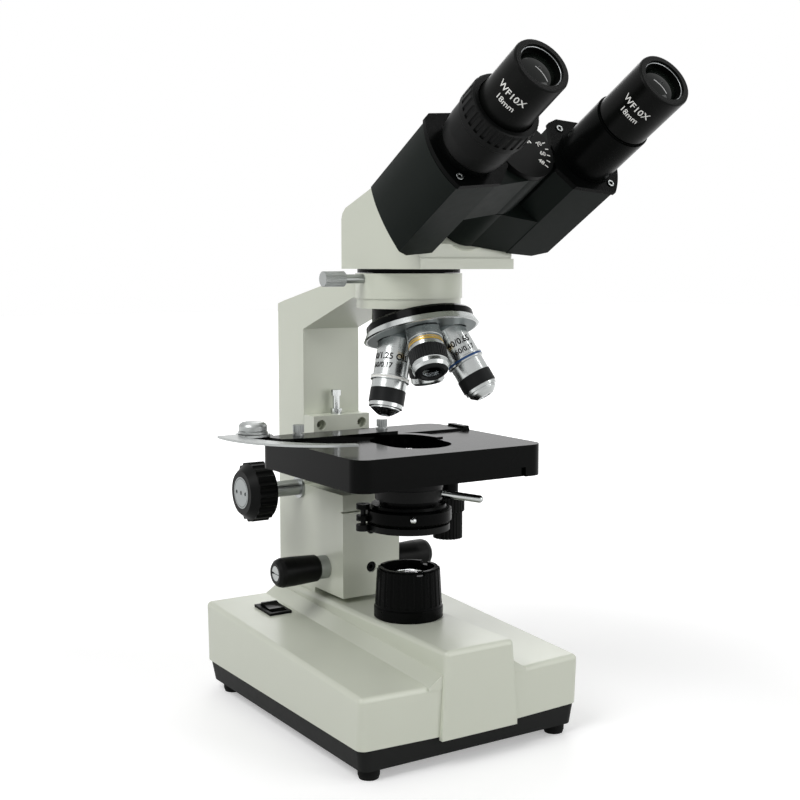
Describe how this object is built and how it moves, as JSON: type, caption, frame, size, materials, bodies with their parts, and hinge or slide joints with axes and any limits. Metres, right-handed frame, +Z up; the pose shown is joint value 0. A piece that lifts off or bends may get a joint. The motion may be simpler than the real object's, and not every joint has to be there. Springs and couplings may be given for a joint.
{
  "type": "binocular biological microscope",
  "caption": "Upright laboratory microscope with hinged binocular head, revolving objectives, focusing stage, condenser and lit base.",
  "frame": {"origin": "on the bench plane, on the optical axis of the objective in use and the condenser", "axes": "+Z up along the optical axis, -Y towards the observer, +X to the observer's right"},
  "size_m": [0.17, 0.2991, 0.3681],
  "materials": {
    "cream": "satin",
    "black_metal": "satin",
    "black_plastic": "satin",
    "plate_grey": "satin",
    "rubber": "matt",
    "chrome": "polished",
    "steel": "brushed",
    "glass": "clear",
    "filter": "clear",
    "ceramic": "matt",
    "enamel": "gloss"
  },
  "bodies": {
    "stand": {"base_housing": "cream", "base_plate": "plate_grey", "rubber_feet": "rubber", "switch_bezel": "black_plastic", "power_inlet": "black_plastic", "lamp_holder": "ceramic", "lamp_bulb": "glass", "collector_barrel": "black_metal", "collector_lens": "glass", "arm_casting": "cream", "focus_cover": "cream", "cover_screws": "black_metal", "coarse_sleeves": "steel", "nose_base": "enamel"},
    "rocker": {"switch_rocker": "black_plastic"},
    "coarse_drive": {"coarse_shaft": "steel", "coarse_knobs": "black_plastic", "coarse_discs": "chrome"},
    "fine_drive": {"fine_shaft": "chrome", "fine_knobs": "black_plastic"},
    "coarse_slide": {"rack_slide": "steel"},
    "carriage": {"stage_carriage": "cream", "limit_screw": "chrome", "stage_guide": "black_metal", "condenser_carrier": "black_metal"},
    "stage": {"stage_plate": "enamel", "x_rail": "steel", "stage_drive": "black_metal"},
    "y_knob": {"knob_upper": "black_plastic"},
    "x_knob": {"knob_lower": "black_plastic"},
    "holder": {"slide_holder": "steel", "holder_screws": "chrome", "finger_knob": "chrome"},
    "finger": {"holder_finger": "steel"},
    "condenser": {"condenser_body": "black_metal", "condenser_lens": "glass"},
    "lift": {"lift_lever": "chrome"},
    "iris": {"iris_lever": "chrome"},
    "filter": {"filter_holder": "black_metal", "filter_glass": "filter"},
    "nosepiece": {"turret": "steel", "objective_4": "chrome", "objective_10": "chrome", "objective_40": "chrome", "objective_100": "chrome", "objective_lenses": "glass"},
    "head": {"head_casting": "cream", "head_dovetail": "black_metal", "hinge_axle": "steel"},
    "head_lock": {"lock_screw": "chrome"},
    "right_tube": {"housing_right": "black_metal", "cover_right": "black_metal", "dial": "black_plastic", "eyetube_right": "black_metal"},
    "left_tube": {"housing_left": "black_metal", "cover_left": "black_metal", "eyetube_left": "black_metal"},
    "dioptre": {"dioptre_collar": "black_plastic"},
    "left_ocular": {"eyepiece_left": "black_metal"},
    "right_ocular": {"eyepiece_right": "black_metal"}
  },
  "joints": [
    {"name": "rocker_tilt", "type": "hinge", "parent": "stand", "child": "rocker", "pos_m": [-0.044, 0.08797, 0.05448], "axis": [1, 0, 0], "range_deg": [-18, 0]},
    {"name": "coarse_turn", "type": "hinge", "parent": "stand", "child": "coarse_drive", "pos_m": [0, 0.096, 0.1285], "axis": [1, 0, 0], "range_deg": [-171.9, 114.6]},
    {"name": "coarse_lift", "type": "slide", "parent": "stand", "child": "coarse_slide", "axis": [0, 0, 1], "range_m": [-0.015, 0.01]},
    {"name": "fine_turn", "type": "hinge", "parent": "stand", "child": "fine_drive", "pos_m": [0, 0.063, 0.0835], "axis": [1, 0, 0], "range_deg": [-900.1, 900.1]},
    {"name": "fine_lift", "type": "slide", "parent": "coarse_slide", "child": "carriage", "axis": [0, 0, 1], "range_m": [-0.0005, 0.0005]},
    {"name": "stage_y", "type": "slide", "parent": "carriage", "child": "stage", "axis": [0, 1, 0], "range_m": [-0.011, 0.009]},
    {"name": "y_knob_turn", "type": "hinge", "parent": "stage", "child": "y_knob", "pos_m": [0.052, 0.035, 0.12], "axis": [0, 0, 1], "range_deg": [-114.6, 93.76]},
    {"name": "x_knob_turn", "type": "hinge", "parent": "stage", "child": "x_knob", "pos_m": [0.052, 0.035, 0.105], "axis": [0, 0, 1], "range_deg": [-95.5, 429.72]},
    {"name": "holder_x", "type": "slide", "parent": "stage", "child": "holder", "axis": [1, 0, 0], "range_m": [-0.01, 0.045]},
    {"name": "finger_swing", "type": "hinge", "parent": "holder", "child": "finger", "pos_m": [-0.075, 0.05, 0.171], "axis": [0, 0, 1], "range_deg": [-25, 0]},
    {"name": "condenser_lift", "type": "slide", "parent": "carriage", "child": "condenser", "axis": [0, 0, 1], "range_m": [-0.005, 0.002]},
    {"name": "lift_lever_turn", "type": "hinge", "parent": "carriage", "child": "lift", "pos_m": [0, 0, 0.138], "axis": [0, 0, 1], "range_deg": [-64.3, 25.72]},
    {"name": "iris_turn", "type": "hinge", "parent": "condenser", "child": "iris", "pos_m": [0, 0, 0.127], "axis": [0, 0, 1], "range_deg": [-30, 30]},
    {"name": "filter_swing", "type": "hinge", "parent": "condenser", "child": "filter", "pos_m": [-0.026, 0.008, 0.12], "axis": [0, 0, 1], "range_deg": [-100, 0]},
    {"name": "nosepiece_turn", "type": "hinge", "parent": "stand", "child": "nosepiece", "pos_m": [0, 0, 0.2696], "axis": [0, 0.3256, 0.9455], "continuous": true},
    {"name": "head_turn", "type": "hinge", "parent": "stand", "child": "head", "pos_m": [0, 0, 0.265], "axis": [0, 0, 1], "continuous": true},
    {"name": "head_lock_turn", "type": "hinge", "parent": "stand", "child": "head_lock", "pos_m": [-0.04, 0, 0.261], "axis": [1, 0, 0], "range_deg": [-360, 90]},
    {"name": "right_tube_tilt", "type": "hinge", "parent": "head", "child": "right_tube", "pos_m": [0, -0.0493, 0.2929], "axis": [0, -0.866, 0.5], "range_deg": [-35, 5]},
    {"name": "left_tube_tilt", "type": "hinge", "parent": "head", "child": "left_tube", "pos_m": [0, -0.0493, 0.2929], "axis": [0, -0.866, 0.5], "range_deg": [-5, 35]},
    {"name": "dioptre_turn", "type": "hinge", "parent": "left_tube", "child": "dioptre", "pos_m": [-0.03736, -0.05093, 0.29007], "axis": [0, -0.866, 0.5], "range_deg": [0, 270.02]},
    {"name": "dioptre_lift", "type": "slide", "parent": "left_tube", "child": "left_ocular", "axis": [0, -0.866, 0.5], "range_m": [0, 0.004]},
    {"name": "right_ocular_draw", "type": "slide", "parent": "right_tube", "child": "right_ocular", "axis": [0, -0.866, 0.5], "range_m": [0, 0.018]}
  ],
  "couplings": [
    {"joint": "coarse_turn", "follows": "coarse_lift", "rad_per_m": 200},
    {"joint": "fine_turn", "follows": "fine_lift", "rad_per_m": 31416},
    {"joint": "y_knob_turn", "follows": "stage_y", "rad_per_m": 181.82},
    {"joint": "x_knob_turn", "follows": "holder_x", "rad_per_m": 166.67},
    {"joint": "lift_lever_turn", "follows": "condenser_lift", "rad_per_m": 224.42},
    {"joint": "left_tube_tilt", "follows": "right_tube_tilt", "ratio": -1},
    {"joint": "dioptre_turn", "follows": "dioptre_lift", "rad_per_m": 1178.1}
  ]
}
